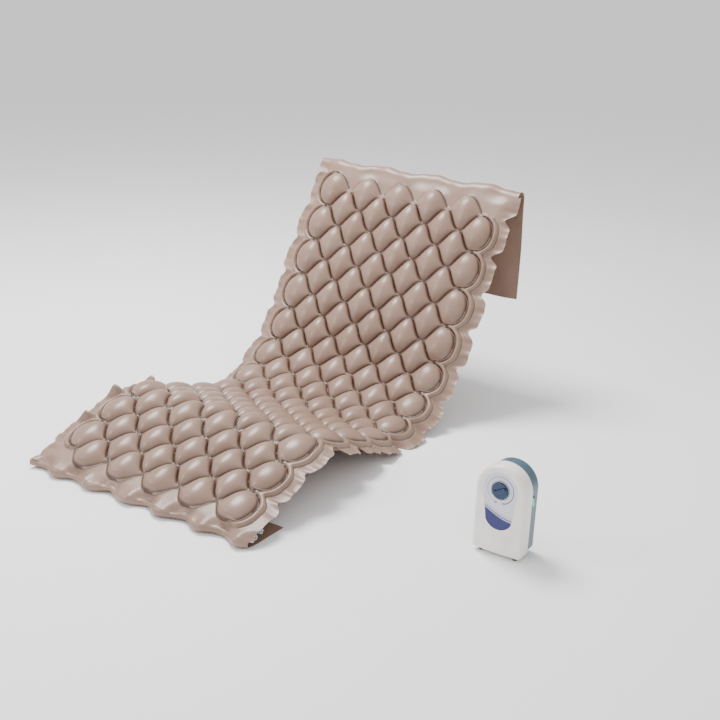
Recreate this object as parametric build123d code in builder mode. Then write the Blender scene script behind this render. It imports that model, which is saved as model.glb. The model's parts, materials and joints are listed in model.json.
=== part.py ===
"""Alternating-pressure bubble overlay mattress with its air pump.

Two films of soft vinyl are welded together so that they form 26 staggered rows of air cells, a scalloped
air channel along each long side, a flat welded border, and a flap of plain film at the head and at the
foot. The mattress lies in the shape of a profiling bed: the calf section rises to the knees, the seat
section falls to the hips, and the back section is raised. The pump stands on the floor beside it.

Units are millimetres. +X points to the head, +Y to the side away from the pump, +Z up. The origin is
the middle of the footprint at floor level.
"""

import os
from math import cos, radians, sin

from build123d import *

os.makedirs("parts", exist_ok=True)

# ---------------------------------------------------------------- mattress: driving dimensions
ROWS = 26
CELLS_PER_ROW = 5
ROW_PITCH = 72.0
CELL_PITCH = 146.0
END_MARGIN = 28.0
FIELD_LENGTH = 2 * END_MARGIN + ROW_PITCH * (ROWS + 1)
CELL_HALF_HEIGHT = 32.0
WELD_HEIGHT = 33.0
WELD_GAP = 5.0
# height as a share of the half height, width as a share of the weld width, and added corner radius
CELL_SECTIONS = [(0, 1.0, 0), (0.62, 0.87, 1), (1.0, 0.58, 2)]
CELL_CORNER = 12.0
OUTER_CELL_CORNER = 24.0
FILM = 0.45
WEB = 0.8
HALF_WIDTH = 450.0
CHANNEL_RADIUS = 9.0
CHANNEL_OFFSET = 14.0
CHANNEL_REACH = 56.0
BODY_GAP = 1.5
BORDER_INNER = 420.0
PLATE_GAP = 0.2
FLAP = 1.2
FLAP_HALF_WIDTH = 440.0
FOOT_FLAP_TUCK = 170.0
HEAD_FLAP_DROP = 395.0
HEAD_FOLD_RADIUS = 30.0

# the bed's shape: slopes in degrees, places along the mattress measured from its foot end
CALF_SLOPE = 17.9
THIGH_SLOPE = 17.7
BACK_SLOPE = 58.2
KNEE_AT = 424.0
KNEE_HALF = 36.0
HIP_AT = 1072.0
HIP_HALF = 288.0
HIP_HINGES = [856.0, 1000.0, 1144.0, 1288.0]

# ---------------------------------------------------------------- pump: driving dimensions
PUMP_WIDTH = 156.0
PUMP_HEIGHT = 280.0
FRONT_DEPTH = 46.0
REAR_DEPTH = 52.0
REAR_INSET = 5.0
WALL = 2.5
FOOT_HEIGHT = 6.0
PUMP_FROM_MIDLINE = 1018.0
PUMP_FROM_FOOT_END = 440.0

DIAL_HEIGHT = 208.0
DIAL_RADIUS = 25.0
DIAL_SHAFT = 3.0
PANEL_RADIUS = 54.0
PANEL_FOOT_HEIGHT = 113.0
SWITCH_HEIGHT = 170.0
RUNNING = 0.05

# ---------------------------------------------------------------- the bed profile


def segments():
    """The profile as (length, first slope, last slope) stretches, from the foot end to the head end."""
    yield KNEE_AT - KNEE_HALF, CALF_SLOPE, CALF_SLOPE
    yield 2 * KNEE_HALF, CALF_SLOPE, -THIGH_SLOPE
    yield HIP_AT - HIP_HALF - KNEE_AT - KNEE_HALF, -THIGH_SLOPE, -THIGH_SLOPE
    yield 2 * HIP_HALF, -THIGH_SLOPE, BACK_SLOPE
    yield FIELD_LENGTH - HIP_AT - HIP_HALF, BACK_SLOPE, BACK_SLOPE


def along(place):
    """x, z and slope of the resting line at a place along the mattress, from its foot end."""
    x = 0.0
    z = 0.0
    slope = CALF_SLOPE
    for length, first, last in segments():
        run = min(place, length)
        slope = first + (last - first) * run / length
        if abs(last - first) < 1e-9:
            x += run * cos(radians(first))
            z += run * sin(radians(first))
        else:
            radius = length / radians(last - first)
            x += radius * (sin(radians(slope)) - sin(radians(first)))
            z -= radius * (cos(radians(slope)) - cos(radians(first)))
        place -= run
        if place <= 0:
            break
    return x, z, slope


HEAD_X = along(FIELD_LENGTH)[0]
FOLD_CENTRE_X = HEAD_X + (HEAD_FOLD_RADIUS - WELD_HEIGHT) * sin(radians(BACK_SLOPE))
FOOT_EDGE_Z = WELD_HEIGHT * cos(radians(CALF_SLOPE))
FOOT_ROLL_RADIUS = (FOOT_EDGE_Z - FLAP / 2) / (1 + cos(radians(CALF_SLOPE)))
FOOT_ROLL_X = -(WELD_HEIGHT - FOOT_ROLL_RADIUS) * sin(radians(CALF_SLOPE))
X_LOW = FOOT_ROLL_X - FOOT_ROLL_RADIUS - FLAP / 2
X_HIGH = FOLD_CENTRE_X + HEAD_FOLD_RADIUS + FLAP / 2
FOOT_X = -(X_LOW + X_HIGH) / 2
PUMP_REACH = PUMP_FROM_MIDLINE + PUMP_WIDTH / 2
MID_Y = (PUMP_REACH - HALF_WIDTH) / 2


def row_place(row):
    """Place along the mattress of a row's centre; row 1 is at the head, row 26 at the foot."""
    return END_MARGIN + ROW_PITCH * (ROWS + 1 - row)


def mattress_plane(place, height=WELD_HEIGHT):
    """Plane lying in the mattress: x towards the head, y across, z out of its upper face."""
    x, z, slope = along(place)
    tilt = radians(slope)
    centre = (FOOT_X + x - height * sin(tilt), MID_Y, z + height * cos(tilt))
    return Plane(origin=centre, x_dir=(cos(tilt), 0, sin(tilt)), z_dir=(-sin(tilt), 0, cos(tilt)))


def first_cell_y(row):
    """The row's first cell, on the +Y side; odd rows reach out to +Y, even rows to -Y."""
    return (2.25 if row % 2 else 1.75) * CELL_PITCH


def cell_ys(row):
    return [first_cell_y(row) - step * CELL_PITCH for step in range(CELLS_PER_ROW)]


def outer_side(row):
    """+1 where the row's outermost cell is on the +Y side, -1 on the -Y side."""
    return 1 if row % 2 else -1


CELL_SIDE = ((CELL_PITCH / 2) ** 2 + ROW_PITCH**2) ** 0.5 - WELD_GAP


def pillow(inset, corner):
    """Upper and lower half of an inflated square cell that stands on its corners, inset by the film."""
    with BuildPart() as body:
        for height, side, extra in CELL_SECTIONS:
            with BuildSketch(Plane.XY.offset(height * (CELL_HALF_HEIGHT - inset))):
                width = side * CELL_SIDE - 2 * inset
                RectangleRounded(width, width, corner + extra - inset, rotation=45)
        loft()
        mirror(about=Plane.XY)
    return body.part


def air_cell(corner):
    """A hollow cell: the film with the air space taken out of it."""
    with BuildPart() as cell:
        add(pillow(0, corner))
        add(pillow(FILM, corner), mode=Mode.SUBTRACT)
    return cell.part


INNER_CELL = air_cell(CELL_CORNER)
OUTER_CELL = air_cell(OUTER_CELL_CORNER)


def channel_line(row):
    """Middle line of the scallop that the air channel makes round the row's outermost cell."""
    side = outer_side(row)
    peak_y = side * (2.25 + 0.5) * CELL_PITCH + side * CHANNEL_OFFSET * 2**0.5
    valley_y = peak_y - side * CHANNEL_REACH * CELL_PITCH / (2 * ROW_PITCH)
    points = [(-CHANNEL_REACH, valley_y), (0, peak_y), (CHANNEL_REACH, valley_y)]
    return points, OUTER_CELL_CORNER + CHANNEL_OFFSET


def scallop(row):
    """One scallop of the air channel, a hollow bent tube."""
    points, bend = channel_line(row)
    with BuildPart() as tube:
        with BuildLine() as path:
            FilletPolyline(*points, radius=bend)
        with BuildSketch(Plane(origin=path.line @ 0, z_dir=path.line % 0)):
            Circle(CHANNEL_RADIUS)
            Circle(CHANNEL_RADIUS - FILM, mode=Mode.SUBTRACT)
        sweep(path=path.line)
    return tube.part


def border_stretch(row):
    """Length share of a row at the weld's height: shorter where the mattress curves up."""
    if abs(row_place(row) - HIP_AT) < HIP_HALF:
        radius = 2 * HIP_HALF / radians(THIGH_SLOPE + BACK_SLOPE)
        return (radius - WELD_HEIGHT) / radius
    return 1.0


def border_strips(row, low, high):
    """The welded border outside the air channels, from low to high along the row's plane."""
    stretch = border_stretch(row)
    width = HALF_WIDTH - BORDER_INNER
    with BuildPart() as strips:
        with BuildSketch(Plane.XY.offset(-WEB / 2)):
            with Locations(*[((low + high) / 2 * stretch, side * (HALF_WIDTH - width / 2)) for side in (-1, 1)]):
                Rectangle((high - low) * stretch, width)
        extrude(amount=WEB)
    return strips.part


def end_strip(place, low, high):
    """The welded margin across the mattress's foot or head end, between the two border strips."""
    with BuildPart() as strip:
        with BuildSketch(Plane.XY.offset(-WEB / 2)):
            with Locations(((low + high) / 2 - place, 0)):
                Rectangle(high - low, 2 * BORDER_INNER - 1)
        extrude(amount=WEB)
    return place_on(strip.part, mattress_plane(place))


def write_node(name, pieces):
    """Gather separate solids as one node, label it and write it."""
    with BuildPart() as node:
        add(pieces)
    node.part.label = name
    export_step(node.part, f"parts/{name}.step")
    return node.part


def place_on(shape, plane):
    return plane.location * shape


def cells_of(rows):
    placed = []
    for row in rows:
        for y in cell_ys(row):
            cell = OUTER_CELL if abs(y) > 2 * CELL_PITCH else INNER_CELL
            placed.append(place_on(Location((0, y, 0)) * cell, mattress_plane(row_place(row))))
    return placed


def solids_of(shapes):
    return [solid for shape in shapes for solid in shape.solids()]


def section(name, low, high, split_circuits=True):
    """A stretch of the mattress between two hinge lines: its cells, channel scallops and welded film."""
    rows = [row for row in range(1, ROWS + 1) if low < row_place(row) < high]
    odd = [row for row in rows if row % 2]
    even = [row for row in rows if not row % 2]
    if split_circuits:
        write_node(f"{name}_cells_a", solids_of(cells_of(odd)))
        write_node(f"{name}_cells_b", solids_of(cells_of(even)))
    else:
        write_node(f"{name}_cells", solids_of(cells_of(rows)))
    tubes = [place_on(scallop(row), mattress_plane(row_place(row))) for row in rows]
    write_node(f"{name}_channels", solids_of(tubes))
    strips = []
    for row in rows:
        centre = row_place(row)
        first = centre - ROW_PITCH < low
        last = centre + ROW_PITCH > high
        start = low + BODY_GAP / 2 if first else centre - ROW_PITCH / 2 + PLATE_GAP
        end = high - BODY_GAP / 2 if last else centre + ROW_PITCH / 2 - PLATE_GAP
        strips.append(place_on(border_strips(row, start - centre, end - centre), mattress_plane(centre)))
    if low == 0:
        strips.append(end_strip(0, BODY_GAP / 2, END_MARGIN - 1))
    if high == FIELD_LENGTH:
        strips.append(end_strip(FIELD_LENGTH, FIELD_LENGTH - END_MARGIN + 1, FIELD_LENGTH - BODY_GAP / 2))
    write_node(f"{name}_border", solids_of(strips))


section("calf", 0, KNEE_AT)
section("seat", KNEE_AT, HIP_HINGES[0])
for number, (low, high) in enumerate(zip(HIP_HINGES, HIP_HINGES[1:]), start=1):
    section(f"hip_strip_{number}", low, high, split_circuits=False)
section("back", HIP_HINGES[-1], FIELD_LENGTH)

# ---------------------------------------------------------------- flaps: plain film folded over the ends

# head flap: leaves the weld in line with the back, folds over and hangs behind it
head_edge = mattress_plane(FIELD_LENGTH)
with BuildPart() as head_flap:
    with BuildSketch(Plane.XZ.offset(-MID_Y)) as head_flap_profile:
        with BuildLine() as head_flap_line:
            start = (head_edge.origin.X, head_edge.origin.Z)
            up = (cos(radians(BACK_SLOPE)), sin(radians(BACK_SLOPE)))
            lead = Line((start[0] + BODY_GAP * up[0], start[1] + BODY_GAP * up[1]),
                        (start[0] + 4 * up[0], start[1] + 4 * up[1]))
            turn = JernArc(lead @ 1, lead % 1, HEAD_FOLD_RADIUS, -(BACK_SLOPE + 90))
            drop = Line(turn @ 1, (turn @ 1) + Vector(0, -HEAD_FLAP_DROP, 0))
        trace(line_width=FLAP)
    extrude(amount=FLAP_HALF_WIDTH, both=True)
head_flap.part.label = "head_flap"
export_step(head_flap.part, "parts/head_flap.step")

# foot flap: rolls down from the foot end and lies tucked under the calf section
foot_edge = mattress_plane(0)
with BuildPart() as foot_flap:
    with BuildSketch(Plane.XZ.offset(-MID_Y)) as foot_flap_profile:
        with BuildLine() as foot_flap_line:
            start = (foot_edge.origin.X, foot_edge.origin.Z)
            down = (-cos(radians(CALF_SLOPE)), -sin(radians(CALF_SLOPE)))
            roll_start = (start[0] + BODY_GAP * down[0], start[1] + BODY_GAP * down[1])
            roll = JernArc(roll_start, down, FOOT_ROLL_RADIUS, 180 - CALF_SLOPE)
            tuck = Line(roll @ 1, (roll @ 1) + Vector(FOOT_FLAP_TUCK, 0, 0))
        trace(line_width=FLAP)
    extrude(amount=FLAP_HALF_WIDTH, both=True)
foot_flap.part.label = "foot_flap"
export_step(foot_flap.part, "parts/foot_flap.step")

# ---------------------------------------------------------------- air inlets, foot end on the pump's side

INLET_PLACES = [34.0, 62.0]
INLET_BORE = 3.0
INLET_TUBE = 5.0
INLET_Y = -394.0
INLET_BELOW = 16.0
INLET_LENGTH = 34.0


def inlet_plane(place):
    """Plane across an inlet under the mattress's border: z points out, towards the pump's side."""
    edge = mattress_plane(place, WELD_HEIGHT - INLET_BELOW)
    return Plane(origin=edge.origin + Vector(0, INLET_Y, 0), x_dir=edge.x_dir, z_dir=(0, -1, 0))


with BuildPart() as inlet_tubes:
    for place in INLET_PLACES:
        with BuildSketch(inlet_plane(place).offset(0.5)):
            Circle(INLET_TUBE)
            Circle(INLET_BORE, mode=Mode.SUBTRACT)
        extrude(amount=INLET_LENGTH)
inlet_tubes.part.label = "inlet_tubes"
export_step(inlet_tubes.part, "parts/inlet_tubes.step")

with BuildPart() as inlet_couplings:
    for place in INLET_PLACES:
        with BuildSketch(inlet_plane(place).offset(0.5 + INLET_LENGTH)):
            Circle(INLET_TUBE + 2.5)
            Circle(INLET_BORE, mode=Mode.SUBTRACT)
        extrude(amount=16)
        with BuildSketch(inlet_plane(place).offset(0.5 + INLET_LENGTH + 4)):
            Circle(INLET_TUBE + 4)
            Circle(INLET_TUBE + 2, mode=Mode.SUBTRACT)
        extrude(amount=5)
inlet_couplings.part.label = "inlet_couplings"
export_step(inlet_couplings.part, "parts/inlet_couplings.step")

# ---------------------------------------------------------------- pump

PUMP_X = FOOT_X + PUMP_FROM_FOOT_END
PUMP_Y = MID_Y - PUMP_FROM_MIDLINE
ARCH_RADIUS = PUMP_WIDTH / 2
SPRING_HEIGHT = PUMP_HEIGHT - ARCH_RADIUS
BOTTOM_BOW = 3.0


def pump_plane(depth=0.0):
    """Plane across the pump at a depth in front of its parting line: x to the pump's right, y up."""
    return Plane(origin=(PUMP_X - depth, PUMP_Y, 0), x_dir=(0, -1, 0), z_dir=(-1, 0, 0))


def case_outline(inset):
    """Arch-topped outline with a slightly bowed bottom."""
    half = ARCH_RADIUS - inset
    low = FOOT_HEIGHT + inset
    with BuildSketch() as outline:
        with BuildLine():
            Line((half, low + BOTTOM_BOW), (half, SPRING_HEIGHT))
            ThreePointArc((half, SPRING_HEIGHT), (0, SPRING_HEIGHT + half), (-half, SPRING_HEIGHT))
            Line((-half, SPRING_HEIGHT), (-half, low + BOTTOM_BOW))
            ThreePointArc((-half, low + BOTTOM_BOW), (0, low), (half, low + BOTTOM_BOW))
        make_face()
    return outline.sketch


def panel_outline(inset):
    """Shield outline round the dial, narrowing to a broad rounded foot."""
    with BuildSketch() as outline:
        with BuildLine():
            ThreePointArc((52 - inset, 196), (0, DIAL_HEIGHT + PANEL_RADIUS - inset), (inset - 52, 196))
            Line((inset - 52, 196), (inset - 40, 110))
            ThreePointArc((inset - 40, 110), (0, PANEL_FOOT_HEIGHT - 28 + inset), (40 - inset, 110))
            Line((40 - inset, 110), (52 - inset, 196))
        make_face()
    return outline.sketch


RECESS_DEPTH = 1.0
SHAFT_CLEARANCE = 1.0
FRONT_INNER = FRONT_DEPTH - WALL
REAR_INNER = REAR_DEPTH - WALL
SIDE_INNER = ARCH_RADIUS - REAR_INSET - WALL
SWITCH_DEPTH = -14.0
ROCKER_HALF_LENGTH = 13.0
ROCKER_HALF_WIDTH = 6.0
NOZZLE_PLACES = [(-22.0, 34.0), (-22.0, 58.0)]
NOZZLE_RADIUS = 4.5
NOZZLE_BORE = 2.5
NOZZLE_ROOT_RADIUS = 4.2
NOZZLE_CLEAR = 0.6
NOZZLE_LENGTH = 17.0
SCREW_SPOTS = [(-60.0, 150.0), (60.0, 150.0), (-30.0, 22.0), (30.0, 22.0), (0.0, 256.0)]
SCREW_RADIUS = 1.5
POST_RADIUS = 4.0
POST_END = -46.0
HOOK_PLACES = [-42.0, 42.0]
HOOK_HEIGHT = 168.0
HOOK_PIN = 2.0
HOOK_PIVOT_OUT = 6.0
INLET_SPOT = (-18.0, 46.0)
FUSE_SPOT = (26.0, 46.0)


def side_plane(side, out=0.0):
    """Plane on the rear case's side, +1 for the pump's right side (-Y), with its y axis up."""
    reach = SIDE_INNER + WALL + out
    return Plane(origin=(PUMP_X, PUMP_Y - side * reach, 0), x_dir=(side, 0, 0), z_dir=(0, -side, 0))


def side_spot(side, depth, height):
    """Local sketch position on side_plane() for a depth in front of the parting line and a height."""
    return (-side * depth, height)


with BuildPart() as front_case:
    with BuildSketch(pump_plane()):
        add(case_outline(0))
    extrude(amount=FRONT_DEPTH)
    fillet(front_case.edges().filter_by(Axis.X).sort_by(Axis.Z)[:2], radius=13)
    fillet(front_case.faces().sort_by(Axis.X)[0].edges(), radius=11)
    offset(amount=-WALL, openings=front_case.faces().sort_by(Axis.X)[-1])
    with BuildSketch(pump_plane(FRONT_DEPTH)):
        add(panel_outline(0))
    extrude(amount=-RECESS_DEPTH, mode=Mode.SUBTRACT)
    with BuildSketch(pump_plane(FRONT_DEPTH)):
        with Locations((0, DIAL_HEIGHT)):
            Circle(DIAL_SHAFT + SHAFT_CLEARANCE)
    extrude(amount=-10, mode=Mode.SUBTRACT)
    # screw posts, which reach back to the rear wall
    with BuildSketch(pump_plane(POST_END)):
        with Locations(*SCREW_SPOTS):
            Circle(POST_RADIUS)
            Circle(SCREW_RADIUS, mode=Mode.SUBTRACT)
    extrude(amount=FRONT_INNER - POST_END)
front_case.part.label = "front_case"
export_step(front_case.part, "parts/front_case.step")

with BuildPart() as rear_case:
    with BuildSketch(pump_plane()):
        add(case_outline(REAR_INSET))
    extrude(amount=-REAR_DEPTH)
    fillet(rear_case.edges().filter_by(Axis.X).sort_by(Axis.Z)[:2], radius=10)
    fillet(rear_case.faces().sort_by(Axis.X)[-1].edges(), radius=9)
    offset(amount=-WALL, openings=rear_case.faces().sort_by(Axis.X)[0])
    # rocker switch cut-out on the right side, nozzle holes on the left, inlet and vents at the rear
    with BuildSketch(side_plane(1)):
        with Locations(side_spot(1, SWITCH_DEPTH, SWITCH_HEIGHT)):
            Rectangle(2 * ROCKER_HALF_WIDTH + 4, 2 * ROCKER_HALF_LENGTH + 4)
    extrude(amount=-WALL - 1, mode=Mode.SUBTRACT)
    with BuildSketch(side_plane(-1)):
        with Locations(*[side_spot(-1, *spot) for spot in NOZZLE_PLACES]):
            Circle(NOZZLE_RADIUS)
    extrude(amount=-WALL - 1, mode=Mode.SUBTRACT)
    with BuildSketch(pump_plane(-REAR_DEPTH)):
        with Locations(INLET_SPOT):
            Rectangle(28, 20)
        with Locations(FUSE_SPOT):
            Circle(7)
        with Locations((0, 120)):
            with GridLocations(0, 7, 1, 8):
                SlotOverall(56, 2.4)
        with Locations(*SCREW_SPOTS):
            Circle(SCREW_RADIUS + 0.2)
    extrude(amount=WALL + 1, mode=Mode.SUBTRACT)
rear_case.part.label = "rear_case"
export_step(rear_case.part, "parts/rear_case.step")

with BuildPart() as label_panel:
    with BuildSketch(pump_plane(FRONT_DEPTH - RECESS_DEPTH)):
        add(panel_outline(0.3))
        with Locations((0, DIAL_HEIGHT)):
            Circle(DIAL_SHAFT + SHAFT_CLEARANCE, mode=Mode.SUBTRACT)
    extrude(amount=0.6)
label_panel.part.label = "label_panel"
export_step(label_panel.part, "parts/label_panel.step")

DIAL_BASE = FRONT_DEPTH - RECESS_DEPTH + 0.6

with BuildPart() as dial_bezel:
    with BuildSketch(pump_plane(DIAL_BASE)):
        with Locations((0, DIAL_HEIGHT)):
            Circle(DIAL_RADIUS + 4)
            Circle(DIAL_RADIUS + 1, mode=Mode.SUBTRACT)
    extrude(amount=3.5)
    fillet(dial_bezel.faces().sort_by(Axis.X)[0].edges(), radius=1)
dial_bezel.part.label = "dial_bezel"
export_step(dial_bezel.part, "parts/dial_bezel.step")

with BuildPart() as dial_knob:
    with BuildSketch(pump_plane(DIAL_BASE + 0.5)):
        with Locations((0, DIAL_HEIGHT)):
            Circle(DIAL_RADIUS)
    extrude(amount=6)
    fillet(dial_knob.faces().sort_by(Axis.X)[0].edges(), radius=2)
    with BuildSketch(pump_plane(DIAL_BASE + 6.5)):
        with Locations((0, DIAL_HEIGHT)):
            SlotOverall(2 * DIAL_RADIUS - 5, 11, rotation=28)
    extrude(amount=7)
    fillet(dial_knob.faces().sort_by(Axis.X)[0].edges(), radius=2.5)
dial_knob.part.label = "dial_knob"
export_step(dial_knob.part, "parts/dial_knob.step")

with BuildPart() as dial_shaft:
    with BuildSketch(pump_plane(DIAL_BASE + 0.5)):
        with Locations((0, DIAL_HEIGHT)):
            Circle(DIAL_SHAFT)
    extrude(amount=-18.5)
dial_shaft.part.label = "dial_shaft"
export_step(dial_shaft.part, "parts/dial_shaft.step")

POT_FACE = FRONT_INNER - 4.0

with BuildPart() as potentiometer:
    with BuildSketch(pump_plane(POT_FACE)):
        with Locations((0, DIAL_HEIGHT)):
            Circle(9)
            Circle(DIAL_SHAFT + RUNNING, mode=Mode.SUBTRACT)
    extrude(amount=-13)
    with BuildSketch(pump_plane(POT_FACE - 13)):
        with Locations((0, DIAL_HEIGHT)):
            Circle(9)
    extrude(amount=-2.4)
potentiometer.part.label = "potentiometer"
export_step(potentiometer.part, "parts/potentiometer.step")

with BuildPart() as circuit_board:
    with BuildSketch(pump_plane(POT_FACE - 15.6)):
        with Locations((0, 196)):
            Rectangle(84, 78)
    extrude(amount=-1.6)
    with BuildSketch(pump_plane(POT_FACE - 17.2)):
        with Locations((-26, 210)):
            Rectangle(18, 22)
        with Locations((14, 180)):
            Rectangle(26, 16)
    extrude(amount=-11)
circuit_board.part.label = "circuit_board"
export_step(circuit_board.part, "parts/circuit_board.step")

# ---------------------------------------------------------------- rocker switch

# the rocker turns about a level axle in line with X; its upper half is pressed in at rest
ROCKER_TILT = 8.0
ROCKER_PLANE = Plane(origin=(PUMP_X - SWITCH_DEPTH + ROCKER_HALF_WIDTH, PUMP_Y, 0),
                     x_dir=(0, -1, 0), z_dir=(-1, 0, 0))
ROCKER_AXLE = (SIDE_INNER + WALL - 2.5, SWITCH_HEIGHT)

with BuildPart() as switch_bezel:
    with BuildSketch(side_plane(1)):
        with Locations(side_spot(1, SWITCH_DEPTH, SWITCH_HEIGHT)):
            RectangleRounded(2 * ROCKER_HALF_WIDTH + 7, 2 * ROCKER_HALF_LENGTH + 7, 2)
            Rectangle(2 * ROCKER_HALF_WIDTH + 1, 2 * ROCKER_HALF_LENGTH + 1, mode=Mode.SUBTRACT)
    extrude(amount=1.5)
    with BuildSketch(side_plane(1)):
        with Locations(side_spot(1, SWITCH_DEPTH, SWITCH_HEIGHT)):
            Rectangle(2 * ROCKER_HALF_WIDTH + 4, 2 * ROCKER_HALF_LENGTH + 4)
            Rectangle(2 * ROCKER_HALF_WIDTH + 1, 2 * ROCKER_HALF_LENGTH + 1, mode=Mode.SUBTRACT)
    extrude(amount=-14)
    with BuildSketch(side_plane(1, -14)):
        with Locations(side_spot(1, SWITCH_DEPTH, SWITCH_HEIGHT)):
            Rectangle(2 * ROCKER_HALF_WIDTH + 4, 2 * ROCKER_HALF_LENGTH + 4)
    extrude(amount=-2)
    with BuildSketch(ROCKER_PLANE.offset(-1.5)):
        with Locations(ROCKER_AXLE):
            Circle(1.2 + RUNNING)
    extrude(amount=2 * ROCKER_HALF_WIDTH + 3, mode=Mode.SUBTRACT)
switch_bezel.part.label = "switch_bezel"
export_step(switch_bezel.part, "parts/switch_bezel.step")

with BuildPart() as switch_rocker:
    with BuildSketch(ROCKER_PLANE):
        with Locations(Location((*ROCKER_AXLE, 0), (0, 0, ROCKER_TILT))):
            with Locations((1.6, 0)):
                Rectangle(7, 2 * ROCKER_HALF_LENGTH - 2.4)
            Circle(5)
            Circle(1.2, mode=Mode.SUBTRACT)
    extrude(amount=2 * ROCKER_HALF_WIDTH)
switch_rocker.part.label = "switch_rocker"
export_step(switch_rocker.part, "parts/switch_rocker.step")

with BuildPart() as rocker_axle:
    with BuildSketch(ROCKER_PLANE.offset(-1.4)):
        with Locations(ROCKER_AXLE):
            Circle(1.2)
    extrude(amount=2 * ROCKER_HALF_WIDTH + 2.8)
rocker_axle.part.label = "rocker_axle"
export_step(rocker_axle.part, "parts/rocker_axle.step")

# ---------------------------------------------------------------- rear face: inlet, fuse, screws, hooks

with BuildPart() as mains_inlet:
    with BuildSketch(pump_plane(-REAR_DEPTH)):
        with Locations(INLET_SPOT):
            RectangleRounded(34, 26, 2)
            Rectangle(24, 16, mode=Mode.SUBTRACT)
    extrude(amount=-1.5)
    with BuildSketch(pump_plane(-REAR_DEPTH)):
        with Locations(INLET_SPOT):
            Rectangle(27.6, 19.6)
            Rectangle(24, 16, mode=Mode.SUBTRACT)
    extrude(amount=16)
    with BuildSketch(pump_plane(-REAR_DEPTH + 16)):
        with Locations(INLET_SPOT):
            Rectangle(27.6, 19.6)
    extrude(amount=2)
mains_inlet.part.label = "mains_inlet"
export_step(mains_inlet.part, "parts/mains_inlet.step")

with BuildPart() as inlet_pins:
    with BuildSketch(pump_plane(-REAR_DEPTH + 16)):
        with Locations(INLET_SPOT):
            with Locations((-7, -2), (0, 2.5), (7, -2)):
                Rectangle(2, 4)
    extrude(amount=-13)
inlet_pins.part.label = "inlet_pins"
export_step(inlet_pins.part, "parts/inlet_pins.step")

with BuildPart() as fuse_holder:
    with BuildSketch(pump_plane(-REAR_DEPTH)):
        with Locations(FUSE_SPOT):
            Circle(9)
    extrude(amount=-2)
    with BuildSketch(pump_plane(-REAR_DEPTH)):
        with Locations(FUSE_SPOT):
            Circle(6.9)
    extrude(amount=26)
    with BuildSketch(pump_plane(-REAR_DEPTH - 2)):
        with Locations(FUSE_SPOT):
            SlotOverall(10, 1.6)
    extrude(amount=1, mode=Mode.SUBTRACT)
fuse_holder.part.label = "fuse_holder"
export_step(fuse_holder.part, "parts/fuse_holder.step")

with BuildPart() as case_screws:
    with BuildSketch(pump_plane(-REAR_DEPTH)):
        with Locations(*SCREW_SPOTS):
            Circle(3.2)
    extrude(amount=-1.8)
    with BuildSketch(pump_plane(-REAR_DEPTH)):
        with Locations(*SCREW_SPOTS):
            Circle(SCREW_RADIUS)
    extrude(amount=24)
    with BuildSketch(pump_plane(-REAR_DEPTH - 1.8)):
        with Locations(*SCREW_SPOTS):
            Rectangle(3.6, 0.8)
            Rectangle(0.8, 3.6)
    extrude(amount=0.8, mode=Mode.SUBTRACT)
case_screws.part.label = "case_screws"
export_step(case_screws.part, "parts/case_screws.step")

# hanging hooks: each folds out from the rear face about a level pin, to hang the pump on a bed's end
HOOK_WIDTH = 12.0
HOOK_ARM = 52.0
HOOK_LIP = 17.0
HOOK_BAR = 4.0
EAR = 2.5


def hook_section(spot, low, high):
    """Plane across a hook at its low side, facing the pump's left, with the width up to its high side."""
    return Plane(origin=(PUMP_X, PUMP_Y - spot - low, 0), x_dir=(1, 0, 0), z_dir=(0, -1, 0)), high - low


with BuildPart() as hook_brackets:
    for spot in HOOK_PLACES:
        for low in (-HOOK_WIDTH / 2 - EAR - 0.3, HOOK_WIDTH / 2 + 0.3):
            plane, width = hook_section(spot, low, low + EAR)
            with BuildSketch(plane):
                with Locations((REAR_DEPTH + 0.5, HOOK_HEIGHT)):
                    Rectangle(1, 14)
                with Locations((REAR_DEPTH + HOOK_PIVOT_OUT / 2, HOOK_HEIGHT)):
                    Rectangle(HOOK_PIVOT_OUT, 10)
                with Locations((REAR_DEPTH + HOOK_PIVOT_OUT, HOOK_HEIGHT)):
                    Circle(5)
                    Circle(HOOK_PIN + RUNNING, mode=Mode.SUBTRACT)
            extrude(amount=width)
hook_brackets.part.label = "hook_brackets"
export_step(hook_brackets.part, "parts/hook_brackets.step")


def hanging_hook(spot, name):
    """A hook with its pin, folded up against the rear face: an eye, a straight arm and a lip."""
    plane, width = hook_section(spot, -HOOK_WIDTH / 2, HOOK_WIDTH / 2)
    out = REAR_DEPTH + HOOK_PIVOT_OUT
    with BuildPart() as hook:
        with BuildSketch(plane):
            with Locations((out, HOOK_HEIGHT)):
                Circle(4.6)
            with Locations((out, HOOK_HEIGHT + HOOK_ARM / 2)):
                Rectangle(HOOK_BAR, HOOK_ARM)
            with Locations((out + HOOK_LIP / 2 - HOOK_BAR / 2, HOOK_HEIGHT + HOOK_ARM)):
                Rectangle(HOOK_LIP, HOOK_BAR)
            with Locations((out + HOOK_LIP - HOOK_BAR, HOOK_HEIGHT + HOOK_ARM - 3)):
                Rectangle(HOOK_BAR, 8)
        extrude(amount=width)
        plane, width = hook_section(spot, -HOOK_WIDTH / 2 - EAR - 0.3, HOOK_WIDTH / 2 + EAR + 0.3)
        with BuildSketch(plane):
            with Locations((out, HOOK_HEIGHT)):
                Circle(HOOK_PIN)
        extrude(amount=width)
    hook.part.label = name
    export_step(hook.part, f"parts/{name}.step")


hanging_hook(HOOK_PLACES[0], "hook_left")
hanging_hook(HOOK_PLACES[1], "hook_right")

# ---------------------------------------------------------------- rubber feet

FEET = [(x, depth) for x in (-54.0, 54.0) for depth in (-34.0, 26.0)]

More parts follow.
